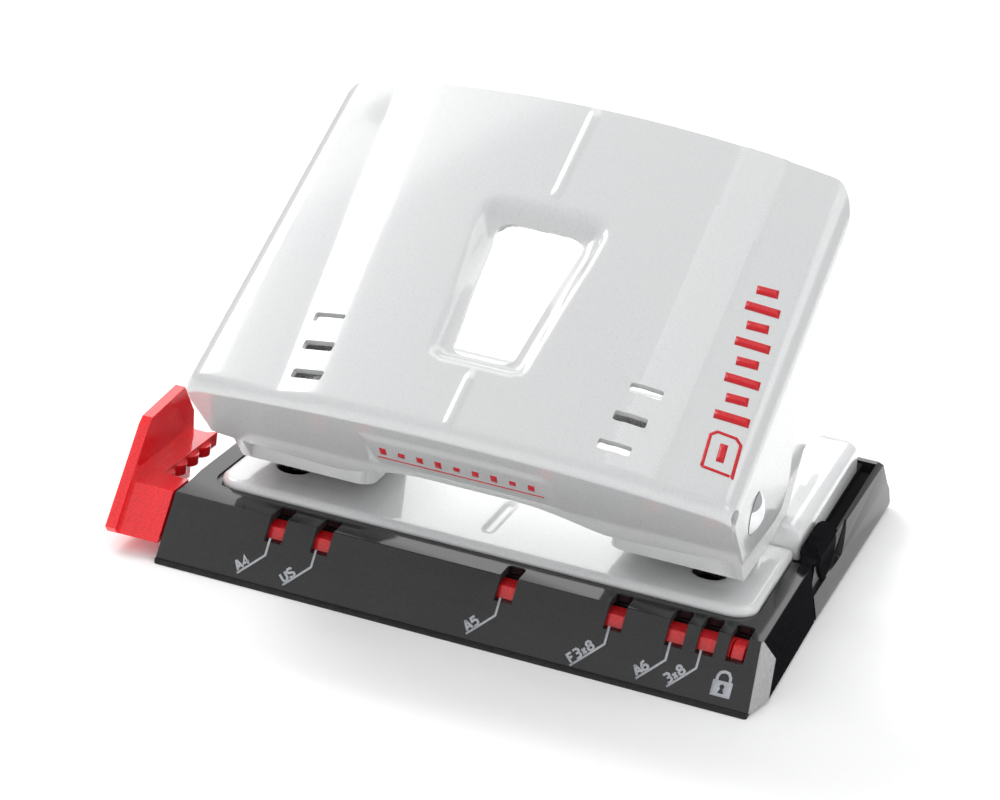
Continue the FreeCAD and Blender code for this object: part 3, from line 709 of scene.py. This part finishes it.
# ---- table, rear plate ----------------------------------------------------
def make_table():
    """Table sheet with rolled front corners, a pressed crease and two die eyes."""
    low, high = node_box("paper_table")
    x0 = low.x + 0.8
    x1 = high.x
    edge_r = 1.4
    wall_z = low.z + 0.05
    eye_r = 3.2
    pin_x = node_box("right_die")[0].x + 5.0
    pin_y = (node_box("right_die")[0].y + node_box("right_die")[1].y) / 2

    def border(inset):
        radii = [max(0.2, r - inset) for r in (5.0, 0.5, 0.5, 5.0)]
        return round_rect(x0 + inset, x1 - inset, low.y + inset, high.y - inset * 0.05, radii)

    def surface(x, y):
        d = min(x - x0, x1 - x, y - low.y)
        for side, cx in ((-1, x0 + 5.0), (1, x1 - 5.0)):
            dx = side * (x - cx)
            dy = low.y + 5.0 - y
            if dx > 0 and dy > 0:
                d = 5.0 - math.hypot(dx, dy)
        if d < 0.01:
            return x, y, wall_z
        z = high.z + 0.03
        if d < edge_r:
            z += math.sqrt(edge_r ** 2 - (edge_r - d) ** 2) - edge_r
        along = smooth((y + 36.8) / 1.2) * smooth((-20.6 - y) / 1.2)
        z -= 0.55 * along * smooth((1.7 - abs(x)) / 1.5)
        for side in (-1, 1):
            eye = math.hypot(x - side * pin_x, y - pin_y) - eye_r
            z += 0.12 * smooth((2.4 - eye) / 0.8) - 0.1 * max(0.0, 1 - eye / 0.4) ** 2
        return x, y, z

    outline = dense(border(0.0), 1.2)
    holes, inner = [], []
    for side in (-1, 1):
        holes.append(circle(side * pin_x, pin_y, eye_r, 36))
        for gap in (0.15, 0.4, 0.9, 1.5, 2.0, 2.6):
            inner += circle(side * pin_x, pin_y, eye_r + gap, 32)
    for inset in (0.03, 0.12, 0.3, 0.6, 0.95, 1.4):
        inner += dense(border(inset), 1.2)
    crease = [-1.7, -1.3, -0.9, -0.5, -0.2, 0.2, 0.5, 0.9, 1.3, 1.7]
    for x in spans(x0 + 2, x1 - 2, 2.0) + crease:
        for y in spans(low.y + 2, high.y - 0.4, 0.8):
            if all(math.hypot(x - s * pin_x, y - pin_y) > eye_r + 3.0 for s in (-1, 1)):
                inner.append((x, y))
    mesh = sheet_mesh("table_sheet", outline, holes, inner, surface, 50)
    made = piece("table_sheet", mesh, WHITE, "base", "paper_table")
    thicken(made, 0.8)


def make_rear_plate():
    """Raised plate with rolled shoulders and a barely domed top."""
    low, high = node_box("rear_plate")
    # Inset from the plate's outline and height over its foot, ring by ring.
    steps = [
        (0.0, 0.0), (0.35, 3.6), (0.45, 4.0), (0.65, 4.5), (1.0, 4.95), (1.5, 5.3),
        (2.2, 5.55), (3.2, 5.72), (5.0, 5.86), (9.0, 5.95), (16.0, 6.0)]
    rings = []
    for inset, rise in steps:
        corner = max(0.6, 3.2 - inset * 0.4)
        front = max(0.4, 1.2 - inset)
        loop = round_rect(low.x + inset, high.x - inset, low.y + inset * 0.8, high.y - inset,
                          [front, corner, corner, front], 6)
        rings.append([(x, y, low.z + 0.02 + rise) for x, y in loop])
    points, faces = ring_loft(rings)
    mesh = mesh_of("rear_plate_sheet", points, faces, 50)
    piece("rear_plate_sheet", mesh, WHITE, "base", "rear_plate")


# ---- base, slider, drawer, guide -----------------------------------------
def make_base():
    """Copies of the CAD shapes with rounded edges; the springs get meshes of their own."""
    looks = [BLACK, SLOPE, PAINTED_REFLECTION_GREY, DEEP, UNDER]
    shell = refined("base_shell", "base", looks, 0.35)
    shell_low = node_box("base_shell")[0]
    corner_x = 53.2        # inside it are the windows, outside it the side's facets
    for face in shell.data.polygons:
        c = face.center / MM
        if face.normal.y < -0.6 and face.normal.z > 0.3 and c.y < shell_low.y + 8:
            face.material_index = 1
        # Right-end faces that face a little forward get the light grey: a painted reflection of
        # the right-hand light on black plastic.
        if face.normal.x > 0.6 and face.normal.y < -0.03 and c.x > corner_x:
            face.material_index = 2
        if face.normal.x > 0.6 and face.normal.y > -0.03 and face.normal.z > 0.05:
            face.material_index = 3
        if abs(face.normal.x) > 0.9 and abs(c.x) < corner_x:
            face.material_index = 4
    refined("guide_cover", "base", UNDER, 0.3)
    refined("base_mat", "base", RUBBER, 0.15)
    refined("left_bracket", "base", WHITE, 0.35)
    refined("right_bracket", "base", WHITE, 0.35)
    refined("left_die", "base", STEEL, 0.2)
    refined("right_die", "base", STEEL, 0.2)
    refined("left_pivot_rivet", "base", CHROME, 0.0)
    refined("right_pivot_rivet", "base", CHROME, 0.0)
    for side in ("left", "right"):
        node = side + "_pin_spring"
        spring = refined(node, "base", STEEL, 0.0)
        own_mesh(spring)
    refined("lock_slider", "lock", DEEP, 0.3)
    drawer = refined("chip_drawer", "drawer", [BLACK, DIM], 0.4)
    for face in drawer.data.polygons:
        if face.normal.z < 0.05 and face.normal.x > 0.6:
            face.material_index = 1
    refined("paper_guide", "guide", RED, 0.55, 4)
    refined("index_tab", "index_tab", RED, 0.3)


# ---- printed marks --------------------------------------------------------
def ribbon(line, width):
    """Outline pairs of a polyline drawn with mitred corners."""
    pts = [Vector(p) for p in line]
    left, right = [], []
    for k, p in enumerate(pts):
        before = (p - pts[k - 1]).normalized() if k else None
        after = (pts[k + 1] - p).normalized() if k + 1 < len(pts) else None
        way = ((before or after) + (after or before)).normalized()
        side = Vector((-way.y, way.x))
        along = after or before
        stretch = min(1.6, 1 / max(0.4, abs(side.dot(Vector((-along.y, along.x))))))
        left.append(p + side * width / 2 * stretch)
        right.append(p - side * width / 2 * stretch)
    return left, right


# Strokes of each letter, in units of about a millimetre.
GLYPHS = {
    "A": [[(0, 0), (0.5, 1.6), (0.62, 1.6), (1.12, 0)], [(0.22, 0.5), (0.9, 0.5)]],
    "4": [[(0.8, 0), (0.8, 1.6), (0.0, 0.5), (1.12, 0.5)]],
    "5": [[(1.0, 1.55), (0.15, 1.55), (0.1, 0.9), (0.65, 1.0), (1.0, 0.75), (1.0, 0.25),
           (0.7, 0), (0.05, 0)]],
    "6": [[(0.95, 1.55), (0.35, 1.45), (0.05, 0.9), (0.05, 0.3), (0.3, 0), (0.75, 0), (1.0, 0.3),
           (1.0, 0.6), (0.75, 0.88), (0.12, 0.8)]],
    "U": [[(0.05, 1.6), (0.05, 0.35), (0.3, 0), (0.75, 0), (1.0, 0.35), (1.0, 1.6)]],
    "S": [[(1.0, 1.3), (0.75, 1.6), (0.3, 1.6), (0.05, 1.35), (0.05, 1.05), (0.3, 0.85),
           (0.75, 0.75), (1.0, 0.5), (1.0, 0.25), (0.75, 0), (0.3, 0), (0.0, 0.28)]],
    "3": [[(0.05, 1.6), (0.75, 1.6), (1.0, 1.35), (1.0, 1.05), (0.75, 0.84), (0.35, 0.84)],
          [(0.74, 0.84), (1.0, 0.6), (1.0, 0.25), (0.75, 0), (0.05, 0)]],
    "8": [[(0.5, 0.85), (0.12, 1.05), (0.12, 1.35), (0.38, 1.6), (0.68, 1.6), (0.94, 1.35),
           (0.94, 1.05), (0.54, 0.85)],
          [(0.5, 0.85), (0.05, 0.6), (0.05, 0.25), (0.3, 0), (0.76, 0), (1.02, 0.25),
           (1.02, 0.6), (0.54, 0.85)]],
    "x": [[(0.1, 0.05), (0.9, 1.0)], [(0.1, 1.0), (0.9, 0.05)]],
    "F": [[(0.08, 0), (0.08, 1.55), (0.95, 1.55)], [(0.08, 0.85), (0.8, 0.85)]],
}
PRINT_THICKNESS = 0.04
STOP_X = 63.1              # side stop to punch centre with the guide pushed in
# Mark and distance from the side stop to the punch centre.
FORMATS = [
    ("A4", 148.5), ("US", 139.7), ("A5", 105.0), ("F3x8", 85.0), ("A6", 74.0), ("3x8", 68.5)]


def print_mesh(name, strips, surface, look, body):
    """A thin printed layer made of ribbons, laid on a surface."""
    points, faces = [], []
    for rank, (line, width) in enumerate(strips):
        left, right = ribbon(line, width)
        lift = PRINT_THICKNESS + 0.004 * (rank % 3)
        for a, b in zip(left, right):
            points.append(surface(a.x, a.y, lift))
            points.append(surface(b.x, b.y, lift))
        start = len(points) - 2 * len(left)
        for k in range(len(left) - 1):
            i = start + 2 * k
            faces.append((i, i + 1, i + 3, i + 2))
    made = piece(name, mesh_of(name, points, faces), look, body)
    thicken(made, PRINT_THICKNESS)


def make_labels():
    """Format marks on the front slope: leaders from the windows, and a padlock."""
    shell_low, shell_high = node_box("base_shell")
    crest_y = -50.0            # top edge of the front slope
    run = (crest_y - shell_low.y) / (shell_high.z - shell_low.z)
    length = math.hypot(1, run)
    lock_x = node_box("index_tab")[0].x + 1.2

    def slope(x, s, lift):
        y = crest_y + s * run / length - lift / length
        z = shell_high.z + s / length + lift * run / length
        return x, y, z

    strips = []
    turn = math.radians(46.5)
    for text, reach in FORMATS:
        x = lock_x - (reach - STOP_X)
        wide = 4.4 if len(text) < 4 else 5.2
        end = (x - 0.6 - wide * 0.93, -7.1 - wide * 0.99)
        strips.append(([(x - 0.55, -3.9), (x - 0.55, -7.1), end], 0.4))
        pen = Vector(end) + Vector((0.1, 0.55))
        way = Vector((math.cos(turn), math.sin(turn)))
        over = Vector((-way.y, way.x))
        for letter in text:
            scale = 0.78 if letter == "x" else 1.0
            for stroke in GLYPHS[letter]:
                line = [tuple(pen + way * px * scale + over * py * 1.02) for px, py in stroke]
                strips.append((line, 0.43))
            pen = pen + way * {"x": 1.15, "F": 1.22}.get(letter, 1.4)
    shackle = [
        (48.95, -8.3), (48.95, -7.4), (49.3, -6.75), (50.0, -6.45), (50.75, -6.6), (51.2, -7.3),
        (51.3, -8.3)]
    strips.append((shackle, 0.5))
    print_mesh("format_marks", strips, slope, GREY_INK, "base")
    plate = round_rect(48.35, 51.85, -10.85, -8.1, [0.15] * 4, 2)
    twelfth = 0.5236
    turns = [k * twelfth for k in range(-2, 9)]
    key = [(50.1 + 0.42 * math.cos(a), -9.1 + 0.42 * math.sin(a)) for a in turns]
    key += [(49.55, -10.3), (50.65, -10.3)]
    mesh = sheet_mesh("padlock_mark", dense(plate, 1.0), [key], [], lambda x, s: slope(x, s, 0.05))
    made = piece("padlock_mark", mesh, GREY_INK, "base")
    thicken(made, PRINT_THICKNESS)


def make_lever_marks():
    """Plain red blocks on the lever and dashes on its skirt."""
    def top(x, t, lift):
        u, w = flat_of(x, t)
        return lever_point(u, w, lift)

    def along(a, b):
        middle = 44.2 - a * 0.076
        return middle + b, 7.6 + a

    strips = []
    border = [
        (0.4, -2.6), (7.2, -2.6), (8.2, -1.6), (8.2, 1.6), (7.2, 2.6), (0.4, 2.6), (0.4, -2.6)]
    strips.append(([along(a, b) for a, b in dense_line(border, 1.0)], 0.55))
    strips.append(([along(a, b) for a, b in dense_line([(2.4, 0.0), (6.2, 0.0)], 1.0)], 1.3))
    for k in range(8):
        a = 11.6 + 4.1 * k
        reach = (3.0, 1.9)[k % 2]
        bar = [(a, -reach), (a + 0.5, reach)]
        strips.append(([along(p, q) for p, q in dense_line(bar, 0.8)], 1.9))
    print_mesh("lever_marks", strips, top, RED_INK, "lever")

    def skirt(x, n, lift):
        u = arc_at(x)
        return lever_point(u, plane_w(x, n), lift)

    dashes = []
    for k in range(9):
        x = -13.6 + 3.35 * k
        height = (1.5, 1.0, 1.25)[k % 3]
        dashes.append((dense_line([(x, -14.1 - height), (x + 0.4, -14.1 + height)], 0.8), 1.15))
    dashes.append((dense_line([(-15.0, -17.3), (15.2, -17.3)], 1.0), 0.5))
    print_mesh("skirt_marks", dashes, skirt, RED_INK, "lever")


def dense_line(line, step):
    """Adds points along an open polyline."""
    made = []
    for a, b in zip(line, line[1:]):
        count = max(1, math.ceil(math.dist(a, b) / step))
        for k in range(count):
            made.append((a[0] + (b[0] - a[0]) * k / count, a[1] + (b[1] - a[1]) * k / count))
    return made + [line[-1]]


# ---- stage and light ------------------------------------------------------
def make_stage():
    """Plain white floor that glows a little, so that it stays pale."""
    bm = bmesh.new()
    bmesh.ops.create_grid(bm, x_segments=8, y_segments=8, size=3.0)
    mesh = bpy.data.meshes.new("floor")
    bm.to_mesh(mesh)
    bm.free()
    floor_look, tree, shader = material("paper_sweep", Specular_IOR_Level=0.2)
    grain = texture(tree, "ShaderNodeTexNoise", 500, Detail=2.0)
    cover = spread(tree, grain.outputs["Fac"], 0.0, 1.0)
    tone = tint(tree, cover, (0.93, 0.93, 0.93), (0.95, 0.95, 0.95))
    tree.links.new(tone, shader.inputs["Base Color"])
    tree.links.new(spread(tree, grain.outputs["Fac"], 0.7, 0.85), shader.inputs["Roughness"])
    shader.inputs["Emission Color"].default_value = (1, 1, 1, 1)
    shader.inputs["Emission Strength"].default_value = 0.1
    mesh.materials.append(floor_look)
    floor = bpy.data.objects.new("floor", mesh)
    bpy.context.scene.collection.objects.link(floor)


def light_panel(name, size, power, place, turn):
    """Rectangular light that shines along its own -Z."""
    data = bpy.data.lights.new(name, "AREA")
    data.shape = "RECTANGLE"
    data.size = size[0]
    data.size_y = size[1]
    data.energy = power
    made = bpy.data.objects.new(name, data)
    made.matrix_world = Matrix.Translation(place) @ turn.to_4x4()
    bpy.context.scene.collection.objects.link(made)


def aimed(place):
    """Rotation of a light that points at the middle of the punch."""
    return (Vector((0.0, 0.0, 0.03)) - Vector(place)).to_track_quat("-Z", "Y").to_matrix()


FRONT_SKY = (0.95, 0.95, 0.955)
SIDE_SKY = (0.47, 0.473, 0.477)
REAR_SKY = (2.6, 2.6, 2.6, 1)      # a bright patch above and behind
FILL_PLACE = (2.8, -0.35, 1.1)
REAR_PLACE = (-0.7, 2.3, 1.25)
KEY_EDGE = Vector((-0.54, 0.25, 0.803)).normalized()
KEY_RUN = Vector((0.425, 0.905, 0.0)).normalized()
KEY_FAR = 3.0
KEY_SHIFT = 0.176                  # half the key's width, as a share of its distance


def make_world():
    """Studio sky: pale in front, grey at the sides, with a bright patch above the rear."""
    world = bpy.data.worlds.new("studio")
    world.use_nodes = True
    tree = world.node_tree
    place = tree.nodes.new("ShaderNodeTexCoord")
    split = tree.nodes.new("ShaderNodeSeparateXYZ")
    tree.links.new(place.outputs["Generated"], split.inputs["Vector"])
    front = spread(tree, split.outputs["Y"], 0.0, 1.0, -0.7, 0.1)
    sky = tint(tree, front, FRONT_SKY, SIDE_SKY)
    share = spread(tree, split.outputs["Y"], 0.0, 1.0, 0.236, 0.241)
    fade = spread(tree, split.outputs["Y"], 1.0, 0.0, 0.42, 0.6)
    high = spread(tree, split.outputs["Z"], 0.0, 1.0, 0.5, 0.62)
    for other in (fade, high):
        node = tree.nodes.new("ShaderNodeMath")
        node.operation = "MULTIPLY"
        tree.links.new(share, node.inputs[0])
        tree.links.new(other, node.inputs[1])
        share = node.outputs["Value"]
    mix = tree.nodes.new("ShaderNodeMix")
    mix.data_type = "RGBA"
    mix.inputs["B"].default_value = REAR_SKY
    tree.links.new(sky, mix.inputs["A"])
    tree.links.new(share, mix.inputs["Factor"])
    tree.links.new(mix.outputs["Result"], tree.nodes["Background"].inputs["Color"])
    bpy.context.scene.world = world


def make_light():
    """Sky, a long key light at the left, a low one behind and a fill at the right."""
    make_world()
    # The key's inner edge lies where the lever's left flank stops mirroring it.
    outward = KEY_EDGE.cross(KEY_RUN)
    middle = (KEY_EDGE + outward * KEY_SHIFT) * KEY_FAR + Vector((-0.03, -0.01, 0.07))
    turn = Matrix((-outward, KEY_RUN, KEY_EDGE)).transposed()
    light_panel("key_left", (1.06, 1.5), 40.0, middle, turn)
    light_panel("rear_low", (1.7, 1.3), 11.0, REAR_PLACE, aimed(REAR_PLACE))
    light_panel("fill_right", (1.3, 1.3), 11.0, FILL_PLACE, aimed(FILL_PLACE))
    bpy.context.scene.view_settings.view_transform = "Standard"


def carry_over():
    """Gives the CAD nodes that stay their finish."""
    for node, look in LOOKS.items():
        mesh = NODES[node].data
        mesh.materials.clear()
        mesh.materials.append(look)


make_camera()
make_handle()
make_table()
make_rear_plate()
make_base()
make_labels()
make_lever_marks()
carry_over()
make_stage()
make_light()
